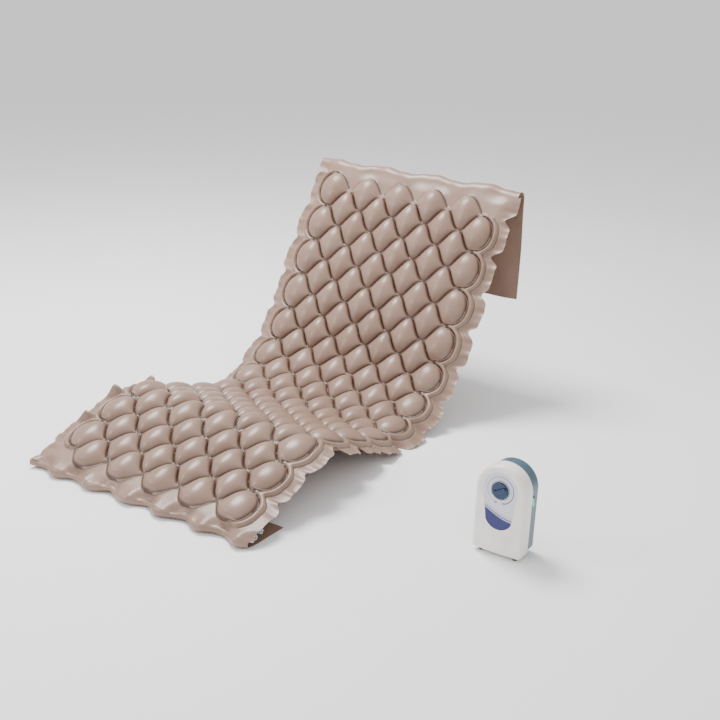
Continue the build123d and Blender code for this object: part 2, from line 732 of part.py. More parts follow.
with BuildPart() as rubber_feet:
    with BuildSketch(Plane.XY):
        with Locations(*[(PUMP_X - depth, PUMP_Y - x) for x, depth in FEET]):
            Circle(7.5)
    extrude(amount=FOOT_HEIGHT + REAR_INSET + 6)
    with BuildSketch(pump_plane()):
        add(case_outline(0))
    extrude(amount=FRONT_DEPTH, mode=Mode.SUBTRACT)
    with BuildSketch(pump_plane()):
        add(case_outline(REAR_INSET))
    extrude(amount=-REAR_DEPTH, mode=Mode.SUBTRACT)
rubber_feet.part.label = "rubber_feet"
export_step(rubber_feet.part, "parts/rubber_feet.step")

# ---------------------------------------------------------------- compressor: electromagnet and two arms

MAGNET_HEIGHT = 94.0
CORE_HALF = 18.0
CORE_FRONT = -6.0
CORE_DEPTH = 22.0
ARM_SPOT = 34.0
ARM_PIVOT_HEIGHT = 130.0
ARM_PIN = 1.5
ARM_END_HEIGHT = 76.0
ARM_THICK = 3.0

with BuildPart() as magnet_core:
    with BuildSketch(pump_plane(CORE_FRONT)):
        with Locations((0, MAGNET_HEIGHT)):
            Rectangle(2 * CORE_HALF + 16, 34)
            with Locations((-18.5, 0), (18.5, 0)):
                Rectangle(21, 18, mode=Mode.SUBTRACT)
        with Locations((0, MAGNET_HEIGHT)):
            Rectangle(16, 34)
    extrude(amount=-CORE_DEPTH)
magnet_core.part.label = "magnet_core"
export_step(magnet_core.part, "parts/magnet_core.step")

with BuildPart() as magnet_coil:
    with BuildSketch(pump_plane(CORE_FRONT)):
        with Locations((-13, MAGNET_HEIGHT), (13, MAGNET_HEIGHT)):
            Rectangle(9, 16)
    extrude(amount=-CORE_DEPTH)
    with BuildSketch(pump_plane(CORE_FRONT + 0.3)):
        with Locations((0, MAGNET_HEIGHT)):
            RectangleRounded(35, 16, 3)
    extrude(amount=8)
    with BuildSketch(pump_plane(CORE_FRONT - CORE_DEPTH - 0.3)):
        with Locations((0, MAGNET_HEIGHT)):
            RectangleRounded(35, 16, 3)
    extrude(amount=-8)
magnet_coil.part.label = "magnet_coil"
export_step(magnet_coil.part, "parts/magnet_coil.step")

with BuildPart() as arm_frame:
    with BuildSketch(pump_plane(CORE_FRONT - CORE_DEPTH / 2 + 8)):
        with Locations((0, ARM_PIVOT_HEIGHT + 8)):
            Rectangle(2 * ARM_SPOT + 14, 6)
        with Locations((-ARM_SPOT, ARM_PIVOT_HEIGHT + 2), (ARM_SPOT, ARM_PIVOT_HEIGHT + 2)):
            Rectangle(9, 14)
        with Locations((-ARM_SPOT, ARM_PIVOT_HEIGHT), (ARM_SPOT, ARM_PIVOT_HEIGHT)):
            Circle(ARM_PIN, mode=Mode.SUBTRACT)
    extrude(amount=3)
    with BuildSketch(pump_plane(CORE_FRONT - CORE_DEPTH / 2 - 8)):
        with Locations((0, ARM_PIVOT_HEIGHT + 8)):
            Rectangle(2 * ARM_SPOT + 14, 6)
        with Locations((-ARM_SPOT, ARM_PIVOT_HEIGHT + 2), (ARM_SPOT, ARM_PIVOT_HEIGHT + 2)):
            Rectangle(9, 14)
        with Locations((-ARM_SPOT, ARM_PIVOT_HEIGHT), (ARM_SPOT, ARM_PIVOT_HEIGHT)):
            Circle(ARM_PIN, mode=Mode.SUBTRACT)
    extrude(amount=-3)
    with BuildSketch(pump_plane(CORE_FRONT - CORE_DEPTH / 2 + 8)):
        with Locations((0, ARM_PIVOT_HEIGHT + 9)):
            Rectangle(2 * ARM_SPOT + 14, 4)
    extrude(amount=-16)
    with BuildSketch(pump_plane(CORE_FRONT - CORE_DEPTH / 2 + 11)):
        with Locations((-ARM_SPOT, ARM_PIVOT_HEIGHT), (ARM_SPOT, ARM_PIVOT_HEIGHT)):
            Circle(ARM_PIN)
    extrude(amount=-22)
arm_frame.part.label = "arm_frame"
export_step(arm_frame.part, "parts/arm_frame.step")


def swing_arm(side, name):
    """A sprung arm that hangs from its pin, with a magnet facing the core."""
    spot = side * ARM_SPOT
    with BuildPart() as arm:
        with BuildSketch(pump_plane(CORE_FRONT - CORE_DEPTH / 2 + 7)):
            with Locations((spot, (ARM_PIVOT_HEIGHT + ARM_END_HEIGHT) / 2)):
                Rectangle(ARM_THICK, ARM_PIVOT_HEIGHT - ARM_END_HEIGHT)
            with Locations((spot, ARM_PIVOT_HEIGHT)):
                Circle(3.4)
                Circle(ARM_PIN + RUNNING, mode=Mode.SUBTRACT)
        extrude(amount=-14)
    arm.part.label = f"{name}_arm"
    export_step(arm.part, f"parts/{name}_arm.step")
    with BuildPart() as magnet:
        with BuildSketch(pump_plane(CORE_FRONT - CORE_DEPTH / 2 + 6)):
            with Locations((spot - side * (ARM_THICK / 2 + 2), MAGNET_HEIGHT)):
                Rectangle(4, 24)
        extrude(amount=-12)
    magnet.part.label = f"{name}_magnet"
    export_step(magnet.part, f"parts/{name}_magnet.step")


swing_arm(-1, "left")
swing_arm(1, "right")

HEAD_INNER = 46.0
HEAD_OUTER = 64.0


def head_plane(side, reach):
    """Plane across a pump head at a reach from the pump's middle, facing outwards."""
    depth = CORE_FRONT - CORE_DEPTH / 2
    return Plane(origin=(PUMP_X - depth, PUMP_Y - side * reach, MAGNET_HEIGHT + 4),
                 x_dir=(1, 0, 0), z_dir=(0, -side, 0))


with BuildPart() as diaphragms:
    for side in (-1, 1):
        with BuildSketch(head_plane(side, HEAD_INNER)):
            Circle(12)
        extrude(amount=-1.5)
        with BuildSketch(head_plane(side, HEAD_INNER - 1.5)):
            Circle(9)
        extrude(amount=-5.5, taper=20)
diaphragms.part.label = "diaphragms"
export_step(diaphragms.part, "parts/diaphragms.step")

with BuildPart() as pump_heads:
    for side in (-1, 1):
        with BuildSketch(head_plane(side, HEAD_INNER)):
            RectangleRounded(30, 32, 3)
        extrude(amount=HEAD_OUTER - HEAD_INNER)
        with BuildSketch(head_plane(side, HEAD_INNER)):
            Circle(9)
        extrude(amount=8, mode=Mode.SUBTRACT)
pump_heads.part.label = "pump_heads"
export_step(pump_heads.part, "parts/pump_heads.step")

# ---------------------------------------------------------------- air distribution

VALVE_SPOT = (-48.0, 46.0)
VALVE_FRONT = -8.0
VALVE_BACK = -36.0
VALVE_HALF = 16.0
VALVE_SHAFT = 2.0
ROTOR_RADIUS = 13.0

with BuildPart() as valve_block:
    with BuildSketch(pump_plane(VALVE_FRONT)):
        with Locations((VALVE_SPOT[0], VALVE_SPOT[1])):
            RectangleRounded(2 * VALVE_HALF, 44, 3)
    extrude(amount=VALVE_BACK - VALVE_FRONT)
    with BuildSketch(side_plane(-1, -SIDE_INNER - WALL + 64)):
        with Locations(*[side_spot(-1, *spot) for spot in NOZZLE_PLACES]):
            Circle(NOZZLE_BORE)
    extrude(amount=-10, mode=Mode.SUBTRACT)
valve_block.part.label = "valve_block"
export_step(valve_block.part, "parts/valve_block.step")

with BuildPart() as outlet_nozzles:
    with BuildSketch(side_plane(-1, -SIDE_INNER - WALL + 64)):
        with Locations(*[side_spot(-1, *spot) for spot in NOZZLE_PLACES]):
            Circle(NOZZLE_ROOT_RADIUS)
            Circle(NOZZLE_BORE, mode=Mode.SUBTRACT)
    extrude(amount=SIDE_INNER + WALL - 64 + NOZZLE_CLEAR)
    with BuildSketch(side_plane(-1, NOZZLE_CLEAR)):
        with Locations(*[side_spot(-1, *spot) for spot in NOZZLE_PLACES]):
            Circle(NOZZLE_RADIUS)
            Circle(NOZZLE_BORE, mode=Mode.SUBTRACT)
    extrude(amount=NOZZLE_LENGTH)
outlet_nozzles.part.label = "outlet_nozzles"
export_step(outlet_nozzles.part, "parts/outlet_nozzles.step")

with BuildPart() as valve_rotor:
    with BuildSketch(pump_plane(VALVE_FRONT + 0.3)):
        with Locations(VALVE_SPOT):
            Circle(ROTOR_RADIUS)
            with PolarLocations(8, 2):
                Circle(2, mode=Mode.SUBTRACT)
    extrude(amount=4)
    with BuildSketch(pump_plane(VALVE_FRONT + 4.3)):
        with Locations(VALVE_SPOT):
            Circle(VALVE_SHAFT)
    extrude(amount=12)
valve_rotor.part.label = "valve_rotor"
export_step(valve_rotor.part, "parts/valve_rotor.step")

MOTOR_BACK = VALVE_FRONT + 8.0

with BuildPart() as timing_motor:
    with BuildSketch(pump_plane(MOTOR_BACK)):
        with Locations(VALVE_SPOT):
            Circle(17)
            Circle(VALVE_SHAFT + RUNNING, mode=Mode.SUBTRACT)
    extrude(amount=9)
    with BuildSketch(pump_plane(MOTOR_BACK + 9)):
        with Locations(VALVE_SPOT):
            Circle(17)
    extrude(amount=6)
timing_motor.part.label = "timing_motor"
export_step(timing_motor.part, "parts/timing_motor.step")

TUBE = 3.0
TUBE_BORE = 2.0
TUBE_DEPTH = CORE_FRONT - CORE_DEPTH / 2
HEAD_FOOT = MAGNET_HEIGHT + 4 - 16
VALVE_TOP = VALVE_SPOT[1] + 22


def pump_point(x, y, depth=TUBE_DEPTH):
    return Vector(PUMP_X - depth, PUMP_Y - x, y)


with BuildPart() as air_tubes:
    with BuildLine() as long_run:
        FilletPolyline(pump_point(55, HEAD_FOOT), pump_point(55, 31), pump_point(VALVE_SPOT[0] + VALVE_HALF, 31),
                       radius=12)
    with BuildSketch(Plane(origin=long_run.line @ 0, z_dir=long_run.line % 0)):
        Circle(TUBE)
        Circle(TUBE_BORE, mode=Mode.SUBTRACT)
    sweep(path=long_run.line)
    with BuildSketch(Plane(origin=pump_point(-55, VALVE_TOP), z_dir=(0, 0, 1))):
        Circle(TUBE)
        Circle(TUBE_BORE, mode=Mode.SUBTRACT)
    extrude(amount=HEAD_FOOT - VALVE_TOP)
air_tubes.part.label = "air_tubes"
export_step(air_tubes.part, "parts/air_tubes.step")

with BuildPart() as air_filter:
    with BuildSketch(pump_plane(-REAR_INNER + 0.2)):
        with Locations((0, 120)):
            RectangleRounded(62, 58, 4)
    extrude(amount=6)
air_filter.part.label = "air_filter"
export_step(air_filter.part, "parts/air_filter.step")
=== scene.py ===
"""Looks of the bubble overlay mattress and its air pump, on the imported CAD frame. Units are metres."""
import json
from math import cos, pi, radians, sin

import bpy
import numpy as np
from mathutils import Matrix, Vector


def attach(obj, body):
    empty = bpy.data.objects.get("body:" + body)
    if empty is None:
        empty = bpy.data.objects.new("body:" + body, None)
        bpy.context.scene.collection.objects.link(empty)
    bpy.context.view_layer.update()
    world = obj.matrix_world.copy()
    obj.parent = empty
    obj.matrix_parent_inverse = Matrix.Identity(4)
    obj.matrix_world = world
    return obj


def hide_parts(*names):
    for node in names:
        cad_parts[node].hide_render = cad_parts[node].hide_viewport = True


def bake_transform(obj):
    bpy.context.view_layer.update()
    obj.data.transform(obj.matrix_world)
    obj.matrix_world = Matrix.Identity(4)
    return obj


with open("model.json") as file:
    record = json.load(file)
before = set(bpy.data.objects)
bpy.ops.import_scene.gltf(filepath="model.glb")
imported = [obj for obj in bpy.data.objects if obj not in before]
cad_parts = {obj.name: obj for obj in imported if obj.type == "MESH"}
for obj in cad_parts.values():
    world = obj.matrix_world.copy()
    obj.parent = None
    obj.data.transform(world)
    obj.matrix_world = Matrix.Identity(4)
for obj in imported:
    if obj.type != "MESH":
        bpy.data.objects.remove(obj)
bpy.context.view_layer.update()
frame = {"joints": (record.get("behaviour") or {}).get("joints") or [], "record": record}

JOINTS = {joint["name"]: joint for joint in frame["joints"]}

# ------------------------------------------------------------ mattress dimensions, as in the CAD

ROWS = 26
CELLS_PER_ROW = 5
ROW_PITCH = 0.072
CELL_PITCH = 0.146
END_MARGIN = 0.028
FIELD_LENGTH = 2 * END_MARGIN + ROW_PITCH * (ROWS + 1)
HALF_WIDTH = 0.450
CELL_HEIGHT = 0.036
WELD_HEIGHT = 0.033
CALF_SLOPE = 17.9
THIGH_SLOPE = 17.7
BACK_SLOPE = 58.2
KNEE_AT = 0.424
KNEE_HALF = 0.036
HIP_AT = 1.072
HIP_HALF = 0.288
FLAP_HALF_WIDTH = 0.440
FOOT_FLAP_TUCK = 0.170
HEAD_FLAP_DROP = 0.395
HEAD_FOLD_RADIUS = 0.030
ODD_ROW_FIRST = 2.25
EVEN_ROW_FIRST = 1.75

# ------------------------------------------------------------ dimensions of the looks only

GRID = 0.004
FLAP_GRID = 0.006
FILM_HALF = 0.0004
SHARP_FOLD = radians(65)
NEAR_ROW = 1.02
CELL_REACH = 0.975
DOME_ALONG = 2.3
DOME_ACROSS = 0.66
DOME_ROUND = 0.60
NOSE_ALONG = 0.0705
NOSE_OUT = 0.060
NOSE_MEAN = 0.065
RING_ALONG = 0.0765
RING_OUT = 0.0745
RING_MEAN = 0.076
RING_SPAN = 0.0725
RING_START = 0.004
RING_POWER = 2.3
CHANNEL_HALF = 0.0095
CHANNEL_HEIGHT = 0.0115
NECK_HEIGHT = 0.0065
NECK_HALF = 0.0055
NECK_LENGTH = 0.016
NECK_PLEATS = 1100
NECKS_WITHIN = 2.6
BORDER_FROM = 0.385
SEAM_FROM_CHANNEL = 0.0115
RIM_FROM_CHANNEL = 0.0142
FLAP_FLOOR_GAP = 0.0008
NO_WELD_NEAR = 0.02
NO_CHANNEL_NEAR = 0.05
MID_Y = JOINTS["knee_bend"]["pos_m"][1]
RANDOM = np.random.default_rng(26)

PROFILE = [
    (KNEE_AT - KNEE_HALF, CALF_SLOPE, CALF_SLOPE),
    (2 * KNEE_HALF, CALF_SLOPE, -THIGH_SLOPE),
    (HIP_AT - HIP_HALF - KNEE_AT - KNEE_HALF, -THIGH_SLOPE, -THIGH_SLOPE),
    (2 * HIP_HALF, -THIGH_SLOPE, BACK_SLOPE),
    (FIELD_LENGTH - HIP_AT - HIP_HALF, BACK_SLOPE, BACK_SLOPE),
]


def resting_line(place):
    """x, z and slope in radians of the resting line, for an array of places along the mattress."""
    place = np.asarray(place, float)
    x = np.zeros_like(place)
    z = np.zeros_like(place)
    slope = np.full_like(place, radians(CALF_SLOPE))
    start = 0.0
    for length, first, last in PROFILE:
        run = np.clip(place - start, 0, length)
        a, b = radians(first), radians(last)
        if a == b:
            x += run * cos(a)
            z += run * sin(a)
        else:
            radius = length / (b - a)
            here = a + (b - a) * run / length
            x += radius * (np.sin(here) - sin(a))
            z -= radius * (np.cos(here) - cos(a))
        slope = np.where(place > start, a + (b - a) * run / length, slope)
        start += length
    over = place - FIELD_LENGTH
    x = np.where(over > 0, x + over * np.cos(slope), np.where(place < 0, place * np.cos(slope), x))
    z = np.where(over > 0, z + over * np.sin(slope), np.where(place < 0, place * np.sin(slope), z))
    return x, z, slope


def foot_x():
    """x of the foot edge's weld, which puts the bend of the knee on its joint."""
    x, _, slope = resting_line(KNEE_AT)
    return JOINTS["knee_bend"]["pos_m"][0] - float(x - WELD_HEIGHT * np.sin(slope))


FOOT_X = foot_x()


def lay(place, across, height):
    """Points at a place along, a distance across and a height above the weld, as an (n, 3) array."""
    x, z, slope = resting_line(place)
    up = WELD_HEIGHT + height
    return np.stack([FOOT_X + x - up * np.sin(slope), MID_Y + across, z + up * np.cos(slope)], -1)


def spot(place):
    """The middle of the weld at a place along, as a plain point."""
    return tuple(lay(np.array(place), 0.0, 0.0))


# ------------------------------------------------------------ the skin's shape


def smooth(low, high, value):
    """0 below low, 1 above high and a soft step between them."""
    t = np.clip((value - low) / (high - low), 0, 1)
    return t * t * (3 - 2 * t)


def ripple(value, *waves):
    """Sum of sine waves, each given as its height, its rate per metre in radians and its phase."""
    return sum(height * np.sin(value * rate + phase) for height, rate, phase in waves)


def tip_turn(across):
    """Angle that goes round once from one cell of the end rows to the next."""
    return 2 * pi * (across / CELL_PITCH - 0.25)


def weld_pattern(place, across):
    """Distance to the nearest weld, slant of that weld and nearness to a cell's tip, for arrays of points."""
    row = (place - END_MARGIN) / ROW_PITCH
    turn = tip_turn(across)
    folded = np.mod(row + 1, 2) - 1
    wave = 1 - 2 * np.abs(folded) + np.cos(turn)
    steep = np.hypot(2 / ROW_PITCH, 2 * pi / CELL_PITCH * np.sin(turn))
    past_the_ends = (row < 0) | (row > ROWS + 1)
    outside_corner = ((row < 1) | (row > ROWS)) & (np.abs(across) > 2.3 * CELL_PITCH)
    away = np.where(past_the_ends | outside_corner, NO_WELD_NEAR, wave / steep)
    slant = np.sign(folded) * np.sin(turn)
    nearest = np.rint(row)
    step = across / CELL_PITCH - 0.25 - np.where(nearest % 2 == 0, 0.5, 0.0)
    sideways = (step - np.rint(step)) * CELL_PITCH
    tips = np.exp(-(((row - nearest) * ROW_PITCH / 0.011) ** 2) - (sideways / 0.017) ** 2)
    return away, slant, tips


def cell_crown(along, off, number, weld):
    """How full one cell is, from 0 to 1, and the welds with the end rows' free sides rounded."""
    near = np.abs(along) < ROW_PITCH * NEAR_ROW
    beside = np.abs(off) < CELL_PITCH / 2
    width = np.where(beside, np.cos(pi * off / CELL_PITCH) ** 2, 0)
    free_side = (along > 0) if number == 1 else (along < 0) & (number == ROWS)
    free_side = free_side & near & beside
    bow = np.sqrt(width) * 0.90 + width * 0.06
    reach = np.where(free_side, bow, width * CELL_REACH)
    weld = np.where(free_side, (np.abs(along) - ROW_PITCH * (bow + 0.02)) * 0.75, weld)
    share = np.abs(along) / ROW_PITCH / np.maximum(reach, 1e-6)
    inside = near & (share < 1)
    dome = (1 - np.minimum(share, 1) ** DOME_ALONG) ** DOME_ROUND
    return np.where(inside, dome, 0) * width**DOME_ACROSS, weld


def outward_nose(along, off, side, crown, weld):
    """The same two for an outer cell, whose side towards the border is a round nose."""
    nose = (along / NOSE_ALONG) ** 2 + (off / NOSE_OUT) ** 2
    outward = (np.abs(along) < ROW_PITCH * NEAR_ROW) & (off * side > 0)
    crown = np.where(outward, np.clip(1 - np.minimum(nose, 1) ** 1.15, 0, 1) ** DOME_ROUND, crown)
    return crown, np.where(outward, (np.sqrt(nose) - 1) * NOSE_MEAN, weld)


def channel_line(along, off, side):
    """Signed distance to the middle of the air channel round an outer cell, and where it runs."""
    reach = np.abs(along / RING_ALONG) ** RING_POWER + np.abs(off / RING_OUT) ** RING_POWER
    band = (np.abs(along) < RING_SPAN) & (off * side > RING_START)
    return (reach ** (1 / RING_POWER) - 1) * RING_MEAN, band


def neck(along, tip):
    """The pleated neck that joins two cells of a row, where tip is the distance from their shared tip."""
    pleat = 1 + 0.25 * np.cos(tip * NECK_PLEATS)
    return NECK_HEIGHT * pleat * np.exp(-((along / NECK_HALF) ** 2)) * (np.abs(tip) < NECK_LENGTH)


def field(place, across):
    """Height of the skin, distances to the air channel and to the nearest weld, its slant and the tips."""
    height = np.zeros_like(place)
    ridge = np.zeros_like(place)
    beyond = np.full_like(place, NO_CHANNEL_NEAR)
    weld, slant, tips = weld_pattern(place, across)
    for number in range(1, ROWS + 1):
        side = 1 if number % 2 else -1
        along = place - (END_MARGIN + ROW_PITCH * (ROWS + 1 - number))
        near = np.abs(along) < ROW_PITCH * NEAR_ROW
        first = (ODD_ROW_FIRST if number % 2 else EVEN_ROW_FIRST) * CELL_PITCH
        for step in range(CELLS_PER_ROW):
            middle = first - step * CELL_PITCH
            off = across - middle
            swell = 0.90 + 0.13 * RANDOM.random()
            lean = 0.05 * (RANDOM.random() - 0.5)
            crown, weld = cell_crown(along, off, number, weld)
            crown *= 1 + lean * off / CELL_PITCH
            if abs(middle) > 2 * CELL_PITCH:
                crown, weld = outward_nose(along, off, side, crown, weld)
                line, band = channel_line(along, off, side)
                tube = np.sqrt(np.clip(1 - (line / CHANNEL_HALF) ** 2, 0, 1))
                ridge = np.maximum(ridge, np.where(band, tube, 0))
                beyond = np.where(band & (np.abs(line) < np.abs(beyond)), line, beyond)
            height = np.maximum(height, crown * CELL_HEIGHT * min(swell, 1.0))
            for end in (-1, 1):
                if abs(middle + end * CELL_PITCH / 2) <= NECKS_WITHIN * CELL_PITCH:
                    height = np.maximum(height, np.where(near, neck(along, off - end * CELL_PITCH / 2), 0))
    height = np.maximum(height, CHANNEL_HEIGHT * ridge)
    return height, beyond, weld, slant, tips


def valley_phase(place, side):
    """0 at the middle of an outward cell on this side, 1 at the valley between two of them."""
    start = END_MARGIN + ROW_PITCH * (2 if side > 0 else 1)
    turn = (place - start) / (2 * ROW_PITCH)
    return 0.5 - 0.5 * np.cos(2 * pi * turn)


# how far each loose bulge of the border stands up, as a share
TENTS = {side: 0.35 + 0.65 * RANDOM.random(20) for side in (-1, 1)}


def border(place, across):
    """Pull towards the middle and lift of the loose border outside the air channel."""
    pull = np.zeros_like(place)
    lift = np.zeros_like(place)
    for side in (-1, 1):
        reach = across * side
        phase = valley_phase(place, side)
        loose = smooth(BORDER_FROM - 0.02 * phase, HALF_WIDTH, reach)
        if side < 0:
            loose = loose * (0.15 + 0.85 * smooth(0.08, 0.15, place))
        start = END_MARGIN + ROW_PITCH * (2 if side > 0 else 1)
        number = np.clip(np.floor((place - start) / (2 * ROW_PITCH)) + 1, 0, 19).astype(int)
        size = TENTS[side][number]
        fold = phase**6
        knee = np.exp(-(((place - KNEE_AT) / 0.30) ** 2))
        hip = np.exp(-(((place - 0.95) / 0.26) ** 2))
        flutter = ripple(place, (0.0025, 97, side), (0.0012, 211, 2 * side))
        droop = -0.012 - 0.016 * hip
        tent = (0.022 + 0.034 * knee) * size * fold
        if side < 0:
            tent = (0.012 * knee - 0.020 * hip + 0.006) * size * fold
        lift += np.where(reach > 0, loose * (droop + tent + flutter), 0)
        wander = ripple(place, (0.004, 13, 2 * side), (0.003, 31, 0))
        pull += np.where(reach > 0, loose * (fold * (0.010 + 0.026 * size) + 0.004 + wander), 0) * side
    return pull, lift


def new_mesh(name, points, faces):
    """A linked object with a smooth shaded mesh."""
    mesh = bpy.data.meshes.new(name)
    mesh.from_pydata([tuple(point) for point in points], [], faces)
    mesh.update()
    mesh.polygons.foreach_set("use_smooth", [True] * len(mesh.polygons))
    mesh.set_sharp_from_angle(angle=SHARP_FOLD)
    piece = bpy.data.objects.new(name, mesh)
    bpy.context.collection.objects.link(piece)
    return piece


def grid_faces(rows, columns, first=0, flip=False):
    """Quads of a grid of points whose numbers start at first."""
    index = first + np.arange(rows * columns).reshape(rows, columns)
    quads = np.stack([index[:-1, :-1], index[1:, :-1], index[1:, 1:], index[:-1, 1:]], -1).reshape(-1, 4)
    if flip:
        quads = quads[:, ::-1]
    return quads


def store_vector(mesh, name, values):
    """Keep three values per point for the materials."""
    attribute = mesh.attributes.new(name, "FLOAT_VECTOR", "POINT")
    attribute.data.foreach_set("vector", np.asarray(values, np.float32).ravel())


def foot_wave(across):
    """Height of the foot edge above the flat weld: it sags between the last row's cells."""
    return -0.009 + 0.009 * np.cos(tip_turn(across)) + ripple(across, (0.0035, 61, 1), (0.002, 133, 0))


def head_wave(across):
    """Height of the head edge above the flat weld."""
    return -0.003 + ripple(across, (0.0035, 23, 0.5), (0.002, 57, 0))


def foot_gather(across):
    """How far the foot edge is drawn in towards the cells, most between two cells of the last row."""
    return 0.011 - 0.011 * np.cos(tip_turn(across) + 0.5) + ripple(across, (0.004, 41, 2))


def head_gather(across):
    """How far the head edge is drawn in."""
    return 0.004 + ripple(across, (0.003, 29, 1), (0.0015, 83, 0))


def skin(name, low, high):
    """Both faces of the inflated film between two places along the mattress."""
    count = max(2, round((high - low) / GRID) + 1)
    places = np.linspace(low, high, count)
    yards = np.linspace(-HALF_WIDTH, HALF_WIDTH, round(2 * HALF_WIDTH / GRID) + 1)
    place, across = np.meshgrid(places, yards, indexing="ij")
    pull, lift = border(place, across)
    height = at(WHOLE[0], place)
    ends = np.minimum(place, FIELD_LENGTH - place)
    loose_end = 1 - smooth(0.0, 0.7 * ROW_PITCH, ends)
    wave = np.where(place < FIELD_LENGTH / 2, foot_wave(across), head_wave(across))
    lift = lift * (1 - loose_end) + loose_end * wave
    gather = np.where(place < FIELD_LENGTH / 2, foot_gather(across), -head_gather(across))
    drawn = place + gather * (1 - smooth(0.0, 0.9 * ROW_PITCH, ends))
    shape = place.shape
    upper = lay(drawn.ravel(), (across - pull).ravel(), (lift + height + FILM_HALF).ravel())
    lower = lay(drawn.ravel(), (across - pull).ravel(), (lift - height - FILM_HALF).ravel())
    faces = list(map(tuple, grid_faces(*shape)))
    faces += list(map(tuple, grid_faces(*shape, first=upper.shape[0], flip=True)))
    rows, columns = shape
    total = rows * columns
    for row in range(rows - 1):
        for column in (0, columns - 1):
            a, b = row * columns + column, (row + 1) * columns + column
            quad = (a, b, b + total, a + total)
            faces.append(quad if column else quad[::-1])
    piece = new_mesh(name, np.concatenate([upper, lower]), faces)
    weld = np.stack([at(layer, place) for layer in WHOLE[2:]], -1).reshape(-1, 3)
    loose_film = 1 - smooth(0.8 * ROW_PITCH, 1.3 * ROW_PITCH, ends)
    margin = np.stack([np.abs(across), at(WHOLE[1], place), loose_film], -1).reshape(-1, 3)
    store_vector(piece.data, "weld", np.concatenate([weld, weld]))
    store_vector(piece.data, "margin", np.concatenate([margin, margin]))
    return piece


WHOLE_PLACES = np.linspace(0, FIELD_LENGTH, round(FIELD_LENGTH / GRID) + 1)
WHOLE_ACROSS = np.linspace(-HALF_WIDTH, HALF_WIDTH, round(2 * HALF_WIDTH / GRID) + 1)
WHOLE = field(*np.meshgrid(WHOLE_PLACES, WHOLE_ACROSS, indexing="ij"))


def at(layer, place):
    """The rows of a whole-mattress layer that belong to a piece's places."""
    return layer[np.rint(place[:, 0] / GRID).astype(int)]


# ------------------------------------------------------------ material helpers


class Nodes:
    """Small helper that adds nodes to a material and links their sockets."""

    def __init__(self, name):
        self.material = bpy.data.materials.new(name)
        self.material.use_nodes = True
        self.tree = self.material.node_tree
        self.shader = self.tree.nodes["Principled BSDF"]

    def put(self, socket, value):
        if isinstance(value, bpy.types.NodeSocket):
            self.tree.links.new(value, socket)
        else:
            socket.default_value = value

    def set(self, **values):
        for name, value in values.items():
            self.put(self.shader.inputs[name.replace("_", " ")], value)

    def math(self, operation, a, b=0.0, c=0.0):
        node = self.tree.nodes.new("ShaderNodeMath")
        node.operation = operation
        for socket, value in zip(node.inputs, (a, b, c)):
            self.put(socket, value)
        return node.outputs[0]

    def times(self, a, b):
        return self.math("MULTIPLY", a, b)

    def plus(self, a, b):
        return self.math("ADD", a, b)

    def minus(self, a, b):
        return self.math("SUBTRACT", a, b)

    def size(self, a):
        return self.math("ABSOLUTE", a)

    def fade(self, low, high, value):
        """1 below low and 0 above high."""
        return self.minus(1.0, self.step(low, high, value))

    def step(self, low, high, value):
        """0 below low and 1 above high."""
        node = self.tree.nodes.new("ShaderNodeMapRange")
        node.interpolation_type = "SMOOTHSTEP"
        self.put(node.inputs[0], value)
        node.inputs[1].default_value = low
        node.inputs[2].default_value = high
        return node.outputs[0]

    def mix(self, factor, a, b):
        node = self.tree.nodes.new("ShaderNodeMix")
        node.data_type = "RGBA"
        self.put(node.inputs[0], factor)
        self.put(node.inputs[6], a)
        self.put(node.inputs[7], b)
        return node.outputs[2]

    def noise(self, scale, detail=3.0, rough=0.5, vector=None, distortion=0.0):
        node = self.tree.nodes.new("ShaderNodeTexNoise")
        node.inputs["Scale"].default_value = scale
        node.inputs["Detail"].default_value = detail
        node.inputs["Roughness"].default_value = rough
        node.inputs["Distortion"].default_value = distortion
        self.tree.links.new(vector or self.place(), node.inputs["Vector"])
        return node.outputs[0]

    def place(self, scale=(1, 1, 1)):
        coordinates = self.tree.nodes.new("ShaderNodeTexCoord").outputs["Object"]
        node = self.tree.nodes.new("ShaderNodeMapping")
        self.tree.links.new(coordinates, node.inputs[0])
        node.inputs["Scale"].default_value = scale
        return node.outputs[0]

    def split(self, vector):
        node = self.tree.nodes.new("ShaderNodeSeparateXYZ")
        self.tree.links.new(vector, node.inputs[0])
        return node.outputs

    def attribute(self, name):
        node = self.tree.nodes.new("ShaderNodeAttribute")
        node.attribute_name = name
        return node.outputs["Vector"]

    def bump(self, height, strength=0.3, distance=0.001):
        node = self.tree.nodes.new("ShaderNodeBump")
        node.inputs["Strength"].default_value = strength
        node.inputs["Distance"].default_value = distance
        self.put(node.inputs["Height"], height)
        self.tree.links.new(node.outputs[0], self.shader.inputs["Normal"])


TAUPE = (0.280, 0.181, 0.138, 1)
# TAUPE_DARK also serves as painted shade in the creases beside the welds
TAUPE_DARK = (0.055, 0.027, 0.018, 1)
# TAUPE_LIGHT also serves as the painted highlight on the welds that face the light
TAUPE_LIGHT = (0.46, 0.33, 0.27, 1)
TAUPE_WARM = (0.238, 0.146, 0.106, 1)


